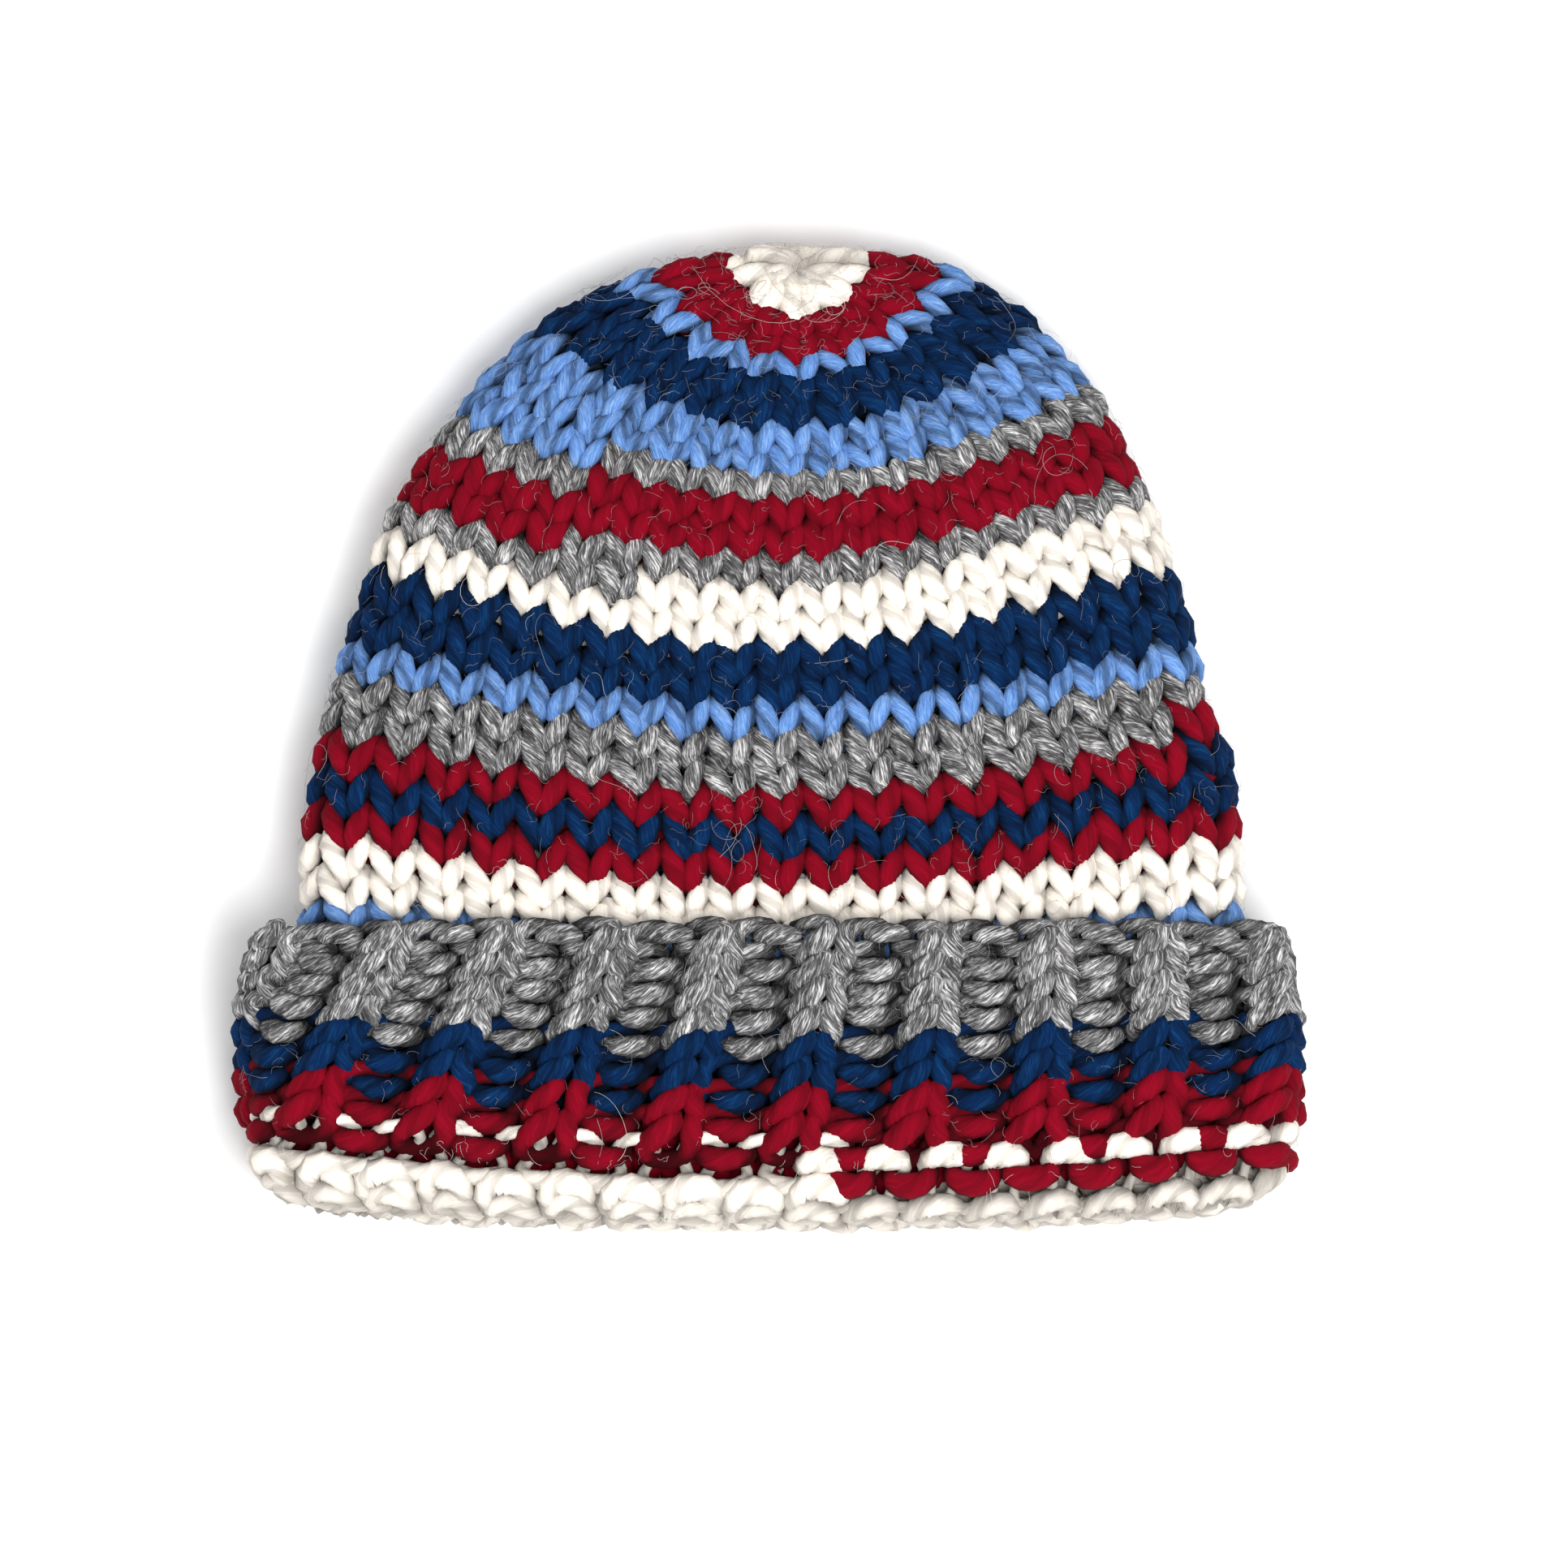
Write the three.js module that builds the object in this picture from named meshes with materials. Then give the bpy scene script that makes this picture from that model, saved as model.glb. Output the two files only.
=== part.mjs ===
import * as THREE from "three";

// A hand-knitted striped beanie with a turned-up ribbed cuff, lying flat on its back. Millimetres.
// +X runs across its width, +Y from the brim to the crown, and +Z up from the surface it lies on.
// Every piece is a ring of knitted fabric in one colour of yarn, around the same open hollow.

// The fabric: two strands thick, with a round row of stitches standing a little proud in each stripe.
const wall = 8.8;
const rowRelief = 0.5;
const ribRelief = 1.6;
const gap = 0.3;

// The gauge: stitches round the body, knit ribs round the cuff, and rows from the fold to the crown.
const stitchesRound = 40;
const ribsRound = stitchesRound / 2;
const hiddenRows = 10;
const bodyRows = 26;
const cuffRows = 9.5;

// Outer radius of the fold's half round, about the middle between the two layers.
const foldRadius = wall + 0.35;

// Facets round each kind of ring: one for each stitch of the body, and four for each rib of the cuff.
const bodyFacets = stitchesRound;
const cuffFacets = 4 * ribsRound;

// Middle of the body's wall, row by row. Row 0 is where the wall comes out of the cuff, and below it the wall
// runs down inside the cuff to the fold. Each row is a closed ring through a front point, two edge points and a
// back point: halfWidth is its reach to each edge, shiftX its sideways lean, and square how boxy it is.
// arch is how the row sags between its edges: 1 is a cosine arch, and less is flatter in the middle and rounder
// at the edges.
const columns = [
  "row", "halfWidth", "shiftX", "frontY", "edgeY", "backY", "frontZ", "edgeZ", "backZ", "square", "arch",
];
const bodySections = tableOf([
  [-10, 107.5, 0, 9.5, 17.5, 9.5, 35.5, 25.5, 15.6, 6, 0.75],
  [0, 105.5, 0, 62.4, 70, 73, 35.5, 25, 16.2, 6, 1],
  [3, 105.5, 0.2, 80.9, 92.5, 92.5, 35.9, 21.8, 9.4, 5, 1],
  [5.5, 103.2, 0.4, 99.4, 113, 109, 37, 20, 3.9, 4, 1],
  [7, 98.8, -1, 109.3, 124.5, 119, 37, 19, 3.9, 4, 1],
  [9, 96, -0.2, 123.2, 138.5, 132, 37, 18.5, 3.9, 4, 1],
  [12, 87.6, 0, 143.9, 165, 152, 36.5, 18, 3.9, 3.8, 1],
  [14.5, 80.6, 1.2, 161.7, 180.5, 169, 35.6, 18, 3.9, 3.5, 0.95],
  [16, 74, 2.4, 171.9, 191.8, 179, 34.8, 18, 3.9, 3.2, 0.9],
  [17.5, 66.2, 3, 179.8, 202.7, 190, 33.8, 18, 3.9, 2.9, 0.85],
  [19.5, 52.4, 4.2, 191.7, 216, 205, 32.2, 18.3, 4, 2.6, 0.75],
  [21, 39, 5.4, 200.8, 223.8, 216, 30.9, 18.8, 5, 2.3, 0.65],
  [22.5, 27, 6, 208, 227.8, 224, 29.6, 19.6, 8, 2.1, 0.6],
  [24.5, 12, 6.6, 218.1, 228.8, 230.2, 27.4, 22.8, 16, 2, 0.5],
  [26, 0, 6.6, 228.2, 228.2, 228.2, 24.6, 24.6, 24.6, 2, 0.5],
]);

// Middle of the cuff's wall, counted down from its cast-on edge to the fold.
const cuffSections = tableOf([
  [0, 115.2, 0, 69.3, 69.3, 69.3, 45, 25.5, 6.1, 6, 1],
  [4.5, 118.2, 0, 41, 46, 41, 45.2, 25.5, 6, 6, 1],
  [9.5, 117, 0, 9.5, 17.5, 9.5, 45, 25.5, 6.1, 6, 0.75],
]);

function tableOf(rows) {
  return rows.map((numbers) => Object.fromEntries(columns.map((column, k) => [column, numbers[k]])));
}

// Stripes of the body from the cuff up, each a solid ring of so many rows.
const bodyStripes = [
  { name: "body_stripe_01_light_blue", yarn: "light_blue", rows: 1 },
  { name: "body_stripe_02_white", yarn: "white", rows: 2 },
  { name: "body_stripe_03_red", yarn: "red", rows: 1 },
  { name: "body_stripe_04_navy", yarn: "navy", rows: 1 },
  { name: "body_stripe_05_red", yarn: "red", rows: 1 },
  { name: "body_stripe_06_gray", yarn: "gray", rows: 2 },
  { name: "body_stripe_07_light_blue", yarn: "light_blue", rows: 1 },
  { name: "body_stripe_08_navy", yarn: "navy", rows: 2 },
  { name: "body_stripe_09_white", yarn: "white", rows: 2 },
  { name: "body_stripe_10_gray", yarn: "gray", rows: 1 },
  { name: "body_stripe_11_red", yarn: "red", rows: 2 },
  { name: "body_stripe_12_gray", yarn: "gray", rows: 1 },
  { name: "crown_stripe_13_light_blue", yarn: "light_blue", rows: 2 },
  { name: "crown_stripe_14_navy", yarn: "navy", rows: 2 },
  { name: "crown_stripe_15_light_blue", yarn: "light_blue", rows: 1 },
  { name: "crown_stripe_16_red", yarn: "red", rows: 2 },
  { name: "crown_tip_white", yarn: "white", rows: 2 },
];

// Stripes of the wall that the cuff hides, from the fold up.
const hiddenStripes = [
  { name: "inner_stripe_red", yarn: "red", rows: 3 },
  { name: "inner_stripe_navy", yarn: "navy", rows: 3 },
  { name: "inner_stripe_gray", yarn: "gray", rows: 4 },
];

// Stripes of the turned-up cuff, from its cast-on edge down to the fold.
const cuffStripes = [
  { name: "cuff_rib_gray", yarn: "gray", rows: 4.5 },
  { name: "cuff_rib_navy", yarn: "navy", rows: 2.3 },
  { name: "cuff_rib_red", yarn: "red", rows: 2.7 },
];

const yarns = {
  light_blue: new THREE.MeshStandardMaterial({ color: 0x6fa0e1, roughness: 0.95, metalness: 0 }),
  navy: new THREE.MeshStandardMaterial({ color: 0x06305f, roughness: 0.95, metalness: 0 }),
  red: new THREE.MeshStandardMaterial({ color: 0x9e0620, roughness: 0.95, metalness: 0 }),
  gray: new THREE.MeshStandardMaterial({ color: 0x9a9896, roughness: 0.95, metalness: 0 }),
  white: new THREE.MeshStandardMaterial({ color: 0xf6f1e8, roughness: 0.95, metalness: 0 }),
};

// A column of a section table at any row: a cubic through the table's rows with slopes from the neighbours.
function columnAt(table, column, row) {
  let i = 0;
  while (i < table.length - 2 && row > table[i + 1].row) i += 1;
  const slope = (k) => (table[k + 1][column] - table[k][column]) / (table[k + 1].row - table[k].row);
  const width = table[i + 1].row - table[i].row;
  const here = slope(i);
  const startSlope = i > 0 ? (here + slope(i - 1)) / 2 : here;
  const endSlope = i < table.length - 2 ? (here + slope(i + 1)) / 2 : here;
  const t = (row - table[i].row) / width;
  const startShare = (1 + 2 * t) * (1 - t) ** 2;
  return startShare * table[i][column] + (1 - startShare) * table[i + 1][column]
    + t * (1 - t) ** 2 * width * startSlope - t * t * (1 - t) * width * endSlope;
}

function sectionAt(table, row) {
  return Object.fromEntries(columns.slice(1).map((column) => [column, columnAt(table, column, row)]));
}

// A point of a row's ring at an angle from its front point. The ring is a superellipse seen from its end, so
// across is the share of the way to the edge, and its sag follows a cosine arch between the two edges.
function ringPoint(section, angle) {
  const power = section.square;
  const reach = (Math.abs(Math.sin(angle)) ** power + Math.abs(Math.cos(angle)) ** power) ** (-1 / power);
  const across = Math.sin(angle) * reach;
  const height = Math.abs(Math.cos(angle)) * reach;
  const sag = Math.max(0, Math.cos((across * Math.PI) / 2)) ** section.arch;
  const front = Math.cos(angle) >= 0;
  const middleY = front ? section.frontY : section.backY;
  const middleZ = front ? section.frontZ : section.backZ;
  return new THREE.Vector3(
    section.shiftX + section.halfWidth * across,
    section.edgeY + (middleY - section.edgeY) * sag,
    section.edgeZ + (middleZ - section.edgeZ) * height,
  );
}

// The ring's angles at equal steps of length, so that every stitch of a row is equally wide.
const angleSteps = 720;
const spacings = new Map();

function evenAngle(table, row, turn) {
  const key = `${table === cuffSections ? "cuff" : "body"} ${row}`;
  if (!spacings.has(key)) {
    const section = sectionAt(table, row);
    const lengths = [0];
    let last = ringPoint(section, 0);
    for (let k = 1; k <= angleSteps; k += 1) {
      const next = ringPoint(section, (2 * Math.PI * k) / angleSteps);
      lengths.push(lengths[k - 1] + next.distanceTo(last));
      last = next;
    }
    spacings.set(key, lengths);
  }
  const lengths = spacings.get(key);
  const share = turn - Math.floor(turn);
  const target = share * lengths[angleSteps];
  let low = 0;
  let high = angleSteps;
  while (high - low > 1) {
    const middle = Math.floor((low + high) / 2);
    if (lengths[middle] <= target) low = middle;
    else high = middle;
  }
  const part = (target - lengths[low]) / Math.max(1e-9, lengths[high] - lengths[low]);
  return (2 * Math.PI * (low + part)) / angleSteps;
}

// The middle of the wall at a row and a share of a turn from the front towards +X.
function wallMiddle(table, row, turn) {
  return ringPoint(sectionAt(table, row), evenAngle(table, row, turn));
}

// The wall's outward direction there, from its slopes along the row and across the rows.
const rowStep = 0.5;
const turnStep = 0.006;

function wallOutward(table, row, turn) {
  const lastRow = table[table.length - 1].row;
  const above = Math.min(row + rowStep, lastRow);
  const below = Math.min(row - rowStep, lastRow - 2 * rowStep);
  const ringRow = Math.min(row, lastRow - rowStep);
  const alongRow = wallMiddle(table, ringRow, turn + turnStep).sub(wallMiddle(table, ringRow, turn - turnStep));
  const acrossRows = wallMiddle(table, above, turn).sub(wallMiddle(table, below, turn));
  const outward = alongRow.cross(acrossRows).normalize();
  return table === cuffSections ? outward.negate() : outward;
}

// A point of a piece's skin: off the middle of the wall, and flattened where it rests on the surface.
function skinPoint(table, row, turn, offset) {
  const point = wallMiddle(table, row, turn).addScaledVector(wallOutward(table, row, turn), offset);
  point.z = Math.max(0, point.z);
  return point;
}

// A closed solid from rings of points, one ring after another round the section's outline. A ring may be a
// single point, which closes the solid on itself there. The last strip, back to the first ring, is split along
// the other diagonal, so that the facing sides of two neighbouring rings run parallel.
function solidFromRings(rings, closedLoop) {
  const positions = [];
  const starts = [];
  for (const ring of rings) {
    starts.push(positions.length / 3);
    for (const point of ring) positions.push(point.x, point.y, point.z);
  }
  const triangles = [];
  const steps = closedLoop ? rings.length : rings.length - 1;
  for (let k = 0; k < steps; k += 1) {
    const next = (k + 1) % rings.length;
    const count = Math.max(rings[k].length, rings[next].length);
    for (let j = 0; j < count; j += 1) {
      const a = starts[k] + (j % rings[k].length);
      const b = starts[k] + ((j + 1) % rings[k].length);
      const c = starts[next] + ((j + 1) % rings[next].length);
      const d = starts[next] + (j % rings[next].length);
      if (next === 0) {
        triangles.push(a, b, d, b, c, d);
      } else {
        if (a !== b) triangles.push(a, b, c);
        if (c !== d) triangles.push(a, c, d);
      }
    }
  }
  const geometry = new THREE.BufferGeometry();
  geometry.setAttribute("position", new THREE.Float32BufferAttribute(positions, 3));
  geometry.setIndex(signedVolume(positions, triangles) > 0 ? triangles : triangles.reverse());
  geometry.computeVertexNormals();
  return geometry;
}

// The volume that the triangles close in, negative where they face inwards.
function signedVolume(positions, triangles) {
  const corner = (k) => new THREE.Vector3().fromArray(positions, 3 * triangles[k]);
  let volume = 0;
  for (let k = 0; k < triangles.length; k += 3) {
    volume += corner(k).dot(corner(k + 1).cross(corner(k + 2))) / 6;
  }
  return volume;
}

function ringOf(facets, pointAt) {
  return Array.from({ length: facets }, (_, k) => pointAt(k / facets));
}

function pieceOf(stripe, geometry) {
  const mesh = new THREE.Mesh(geometry, yarns[stripe.yarn]);
  mesh.name = stripe.name;
  return mesh;
}

// The rows where a stripe's skin has a ring of points, and how far it stands off the wall's middle there:
// drawn in beside its neighbours, and standing proud over each row of stitches.
function stripeProfile(firstRow, lastRow, rows, relief) {
  const crests = rows === 1 ? [0.5] : [0.25, 0.75];
  return [
    { row: firstRow, offset: wall / 2 - relief },
    ...crests.map((share) => ({ row: firstRow + share * (lastRow - firstRow), offset: wall / 2 + relief })),
    { row: lastRow, offset: wall / 2 - relief },
  ];
}

// Half the gap beside a ring, in rows.
const rowPitch = 6.2;
const halfGap = gap / 2 / rowPitch;

// How far the inside lies off the wall's middle. The wall is drawn thinner towards the crown, where the
// stitches are decreased and the ring curves in on itself.
const thinningRow = 18;
const thinRow = 22.7;
const thinInside = 1.3;

function insideAt(row) {
  const share = Math.min(1, Math.max(0, row - thinningRow) / (thinRow - thinningRow));
  return -(wall / 2) * (1 - share) - thinInside * share;
}

// One stripe of the body or of the wall inside the cuff.
function bodyStripe(stripe, firstRow, relief) {
  const low = firstRow + halfGap;
  const high = firstRow + stripe.rows - halfGap;
  const outside = stripeProfile(low, high, stripe.rows, relief);
  const rings = outside.map(({ row, offset }) => (
    ringOf(bodyFacets, (turn) => skinPoint(bodySections, row, turn, offset))
  ));
  for (const row of [high, low]) {
    rings.push(ringOf(bodyFacets, (turn) => skinPoint(bodySections, row, turn, insideAt(row))));
  }
  return pieceOf(stripe, solidFromRings(rings, true));
}

// The last rows, drawn together at the crown: a small dome with no hole.
function crownTip(stripe, firstRow) {
  const low = firstRow + halfGap;
  const middle = (firstRow + bodyRows) / 2;
  const ringAt = (row, offset) => ringOf(bodyFacets, (turn) => skinPoint(bodySections, row, turn, offset));
  const poleAt = (offset) => [skinPoint(bodySections, bodyRows, 0, offset)];
  const rings = [
    poleAt(wall / 2),
    ringAt(middle, wall / 2 + rowRelief),
    ringAt(low, wall / 2 - rowRelief),
    ringAt(low, insideAt(low)),
    poleAt(insideAt(bodyRows)),
  ];
  return pieceOf(stripe, solidFromRings(rings, false));
}

// Knit ribs stand proud of the purl columns between them, and a purl column lies at the front's middle. The
// ribs flatten over the last rows before the fold, where every stitch is purled.
const flatteningRows = 2.7;
const reliefAtFold = 0.3;

function ribOffset(row, turn) {
  const share = Math.min(1, (cuffRows - row) / flatteningRows);
  const relief = ribRelief * (reliefAtFold + (1 - reliefAtFold) * share);
  return wall / 2 - relief * Math.cos(2 * Math.PI * ribsRound * turn);
}

// The cuff's inside keeps this far clear of the wall that it lies on.
const cuffClearance = 0.1;
const cuffInside = -wall / 2 + cuffClearance;

function cuffStripe(stripe, firstRow) {
  const low = firstRow + (firstRow > 0 ? halfGap : 0);
  const high = firstRow + stripe.rows - halfGap;
  const rings = [low, high].map((row) => (
    ringOf(cuffFacets, (turn) => skinPoint(cuffSections, row, turn, ribOffset(row, turn)))
  ));
  for (const row of [high, low]) {
    rings.push(ringOf(cuffFacets, (turn) => skinPoint(cuffSections, row, turn, cuffInside)));
  }
  return pieceOf(stripe, solidFromRings(rings, true));
}

// The rolled edge where the knitting was cast on: a bead of yarn along the top of the cuff, whose middle
// stands a little off the wall's middle.
const castOnRadius = 2.5;
const castOnOffset = 0.4;
const castOnSides = 5;

function castOnEdge() {
  const rings = [];
  for (let side = 0; side < castOnSides; side += 1) {
    const angle = (2 * Math.PI * (side + 0.5)) / castOnSides;
    rings.push(ringOf(bodyFacets, (turn) => {
      const outward = wallOutward(cuffSections, 0, turn);
      const middle = wallMiddle(cuffSections, 0, turn);
      middle.y += castOnRadius + gap;
      middle.addScaledVector(outward, castOnOffset + castOnRadius * Math.cos(angle));
      middle.y += castOnRadius * Math.sin(angle);
      middle.z = Math.max(0, middle.z);
      return middle;
    }));
  }
  return pieceOf({ name: "cuff_cast_on_edge", yarn: "gray" }, solidFromRings(rings, true));
}

// The fold, where the wall turns back on itself round the brim: half round outside, and closed inside
// because the two layers press together there. Its half round lies a little beyond the last rows' ends.
const foldSteps = 5;
const foldDrop = 0.9;

function cuffFold() {
  const lastRow = cuffRows;
  const rings = [];
  for (let step = 0; step <= foldSteps; step += 1) {
    const angle = (Math.PI * step) / foldSteps;
    rings.push(ringOf(cuffFacets, (turn) => {
      const outer = wallMiddle(cuffSections, lastRow, turn);
      const inner = wallMiddle(bodySections, -hiddenRows, turn);
      const centre = outer.clone().add(inner).divideScalar(2);
      const outward = outer.sub(inner).normalize();
      const down = inner.sub(wallMiddle(bodySections, 1 - hiddenRows, turn));
      down.addScaledVector(outward, -down.dot(outward)).normalize();
      const ribShare = (1 + Math.cos(angle)) / 2;
      const radius = foldRadius + ribShare * (ribOffset(lastRow, turn) - wall / 2);
      const point = centre.addScaledVector(outward, radius * Math.cos(angle));
      point.addScaledVector(down, foldDrop + radius * Math.sin(angle));
      point.z = Math.max(0, point.z);
      return point;
    }));
  }
  return pieceOf({ name: "cuff_fold_white", yarn: "white" }, solidFromRings(rings, true));
}

const beanie = new THREE.Group();

let cuffRow = 0;
for (const stripe of cuffStripes) {
  beanie.add(cuffStripe(stripe, cuffRow));
  cuffRow += stripe.rows;
}
beanie.add(castOnEdge());
beanie.add(cuffFold());

let hiddenRow = -hiddenRows;
for (const stripe of hiddenStripes) {
  beanie.add(bodyStripe(stripe, hiddenRow, 0));
  hiddenRow += stripe.rows;
}

let bodyRow = 0;
for (const stripe of bodyStripes) {
  const last = bodyRow + stripe.rows === bodyRows;
  beanie.add(last ? crownTip(stripe, bodyRow) : bodyStripe(stripe, bodyRow, rowRelief));
  bodyRow += stripe.rows;
}

// The origin is the middle of the underside's outline box.
const outline = new THREE.Box3().setFromObject(beanie, true);
beanie.position.set(
  -(outline.min.x + outline.max.x) / 2,
  -(outline.min.y + outline.max.y) / 2,
  -outline.min.z,
);
beanie.updateMatrixWorld(true);

export default beanie;
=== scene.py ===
import math

import bpy
import numpy as np
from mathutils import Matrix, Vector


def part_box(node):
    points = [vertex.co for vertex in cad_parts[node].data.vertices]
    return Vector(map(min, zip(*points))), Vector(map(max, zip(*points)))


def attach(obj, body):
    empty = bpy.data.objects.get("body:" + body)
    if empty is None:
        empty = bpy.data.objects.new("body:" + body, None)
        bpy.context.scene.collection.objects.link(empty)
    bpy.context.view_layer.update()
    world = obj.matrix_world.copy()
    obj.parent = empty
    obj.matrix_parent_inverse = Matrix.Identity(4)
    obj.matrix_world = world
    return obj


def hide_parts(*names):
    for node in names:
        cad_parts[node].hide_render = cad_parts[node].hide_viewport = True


# A hand-knitted striped beanie, lying flat on its back with its ribbed cuff turned up.
# Shapes are worked out in millimetres and go into the meshes in metres.
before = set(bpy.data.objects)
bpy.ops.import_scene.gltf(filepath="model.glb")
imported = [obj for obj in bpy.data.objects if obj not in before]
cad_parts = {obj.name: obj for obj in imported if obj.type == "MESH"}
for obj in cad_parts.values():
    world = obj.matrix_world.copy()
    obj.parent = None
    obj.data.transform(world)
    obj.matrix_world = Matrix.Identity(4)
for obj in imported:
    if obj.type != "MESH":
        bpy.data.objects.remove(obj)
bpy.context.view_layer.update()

MM = 0.001
TAU = 2 * math.pi

# Middle of the body's wall, row by row: how far it reaches to each edge, how far it leans, where its front
# point, edge points and back point lie, how boxy the ring is, and how the row sags between its edges.
COLUMNS = ("row", "half_width", "shift_x", "front_y", "edge_y", "back_y",
           "front_z", "edge_z", "back_z", "square", "arch")
BODY_SECTIONS = np.array([
    (-10, 107.5, 0, 9.5, 17.5, 9.5, 35.5, 25.5, 15.6, 6, 0.75),
    (0, 105.5, 0, 62.4, 70, 73, 35.5, 25, 16.2, 6, 1),
    (3, 105.5, 0.2, 80.9, 92.5, 92.5, 35.9, 21.8, 9.4, 5, 1),
    (5.5, 103.2, 0.4, 99.4, 113, 109, 37, 20, 3.9, 4, 1),
    (7, 98.8, -1, 109.3, 124.5, 119, 37, 19, 3.9, 4, 1),
    (9, 96, -0.2, 123.2, 138.5, 132, 37, 18.5, 3.9, 4, 1),
    (12, 87.6, 0, 143.9, 165, 152, 36.5, 18, 3.9, 3.8, 1),
    (14.5, 80.6, 1.2, 161.7, 180.5, 169, 35.6, 18, 3.9, 3.5, 0.95),
    (16, 74, 2.4, 171.9, 191.8, 179, 34.8, 18, 3.9, 3.2, 0.9),
    (17.5, 66.2, 3, 179.8, 202.7, 190, 33.8, 18, 3.9, 2.9, 0.85),
    (19.5, 52.4, 4.2, 191.7, 216, 205, 32.2, 18.3, 4, 2.6, 0.75),
    (21, 39, 5.4, 200.8, 223.8, 216, 30.9, 18.8, 5, 2.3, 0.65),
    (22.5, 27, 6, 208, 227.8, 224, 29.6, 19.6, 8, 2.1, 0.6),
    (24.5, 12, 6.6, 218.1, 228.8, 230.2, 27.4, 22.8, 16, 2, 0.5),
    (26, 0, 6.6, 228.2, 228.2, 228.2, 24.6, 24.6, 24.6, 2, 0.5),
])

# Middle of the cuff's wall, counted down from its cast-on edge to the fold.
CUFF_SECTIONS = np.array([
    (0, 115.2, 0, 69.3, 69.3, 69.3, 45, 25.5, 6.1, 6, 1),
    (4.5, 118.2, 0, 41, 46, 41, 45.2, 25.5, 6, 6, 1),
    (9.5, 117, 0, 9.5, 17.5, 9.5, 45, 25.5, 6.1, 6, 0.75),
])

# The cuff's top edge lies at this y of the tables, so the frame's cuff says where the tables' zero lies.
CUFF_TOP_Y = CUFF_SECTIONS[0, COLUMNS.index("edge_y")]
ZERO_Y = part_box("cuff_rib_gray")[1].y / MM - CUFF_TOP_Y

# The fabric is one sheet, counted in courses along the knitting: the cuff down to the fold, two courses
# round the fold, the hidden wall inside the cuff, and the body from course 0 to the crown.
CUFF_ROWS = 9.5
FOLD_ROWS = 2
HIDDEN_ROWS = 10
BODY_ROWS = 26
FOLD_START = -HIDDEN_ROWS - FOLD_ROWS
CAST_ON = FOLD_START - CUFF_ROWS

# The sheet's grid: its step along the knitting in courses, and its steps round each row. A row's length is
# measured in finer steps than that.
COURSE_STEP = 0.25
ROWS_PER_COURSE = round(1 / COURSE_STEP)
TURNS = 480
ANGLES = 720

# The rows shrink to a point at the crown. Its direction is the mean of the last sound row's, with this share
# of that row's own direction at each turn.
POLE_SHARE = 0.5


def columns_at(table, rows):
    """Each column of a section table at these rows: a cubic between two rows of the table, whose slope at a
    table row is the mean of the straight slopes on its two sides."""
    knots = table[:, 0]
    slopes = np.diff(table, axis=0) / np.diff(knots)[:, None]
    tangents = np.vstack([slopes[:1], (slopes[1:] + slopes[:-1]) / 2, slopes[-1:]])
    i = np.searchsorted(knots[1:-1], rows)
    width = (knots[i + 1] - knots[i])[:, None]
    t = (rows - knots[i])[:, None] / width
    start_share = (1 + 2 * t) * (1 - t) ** 2
    values = (start_share * table[i] + (1 - start_share) * table[i + 1]
              + width * t * (1 - t) ** 2 * tangents[i] - width * t * t * (1 - t) * tangents[i + 1])
    return {name: values[:, k, None] for k, name in enumerate(COLUMNS)}


def ring_points(section, angles):
    """Points of each row's ring: a superellipse seen from its end, (|sin|^p + |cos|^p)^(-1/p) from its
    middle, whose sag towards the brim is a cosine arch between the two edges."""
    power = section["square"]
    reach = (np.abs(np.sin(angles)) ** power + np.abs(np.cos(angles)) ** power) ** (-1 / power)
    across = np.sin(angles) * reach
    height = np.abs(np.cos(angles)) * reach
    sag = np.clip(np.cos(across * math.pi / 2), 0, 1) ** section["arch"]
    front = np.cos(angles) >= 0
    middle_y = np.where(front, section["front_y"], section["back_y"])
    middle_z = np.where(front, section["front_z"], section["back_z"])
    return np.stack([
        section["shift_x"] + section["half_width"] * across,
        section["edge_y"] + (middle_y - section["edge_y"]) * sag,
        section["edge_z"] + (middle_z - section["edge_z"]) * height,
    ], axis=-1)


def even_rings(table, rows):
    """Rings of points at equal steps of length round each row, so that its stitches are equally wide."""
    section = columns_at(table, rows)
    angles = np.linspace(0, TAU, ANGLES + 1)[None, :]
    rings = ring_points(section, angles)
    steps = np.linalg.norm(np.diff(rings, axis=1), axis=2)
    lengths = np.concatenate([np.zeros((len(rows), 1)), np.cumsum(steps + 1e-9, axis=1)], axis=1)
    turns = np.linspace(0, 1, TURNS + 1)
    even = np.stack([np.interp(turns * length[-1], length, angles[0]) for length in lengths])
    return ring_points(section, even)


def fold_rings(outer, inner, beyond):
    """Half rounds between the cuff's last ring and the hidden wall's first ring, about the middle between
    them and bulging away from the hat."""
    half = (outer - inner) / 2
    down = inner - beyond
    outward = half / np.linalg.norm(half, axis=1, keepdims=True)
    down -= np.sum(down * outward, axis=1, keepdims=True) * outward
    down *= np.linalg.norm(half, axis=1, keepdims=True) / np.linalg.norm(down, axis=1, keepdims=True)
    angles = np.arange(COURSE_STEP, FOLD_ROWS, COURSE_STEP) / FOLD_ROWS * math.pi
    return (outer + inner) / 2 + half * np.cos(angles)[:, None, None] + down * np.sin(angles)[:, None, None]


def unit(vectors):
    return vectors / np.maximum(np.linalg.norm(vectors, axis=-1, keepdims=True), 1e-9)


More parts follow.
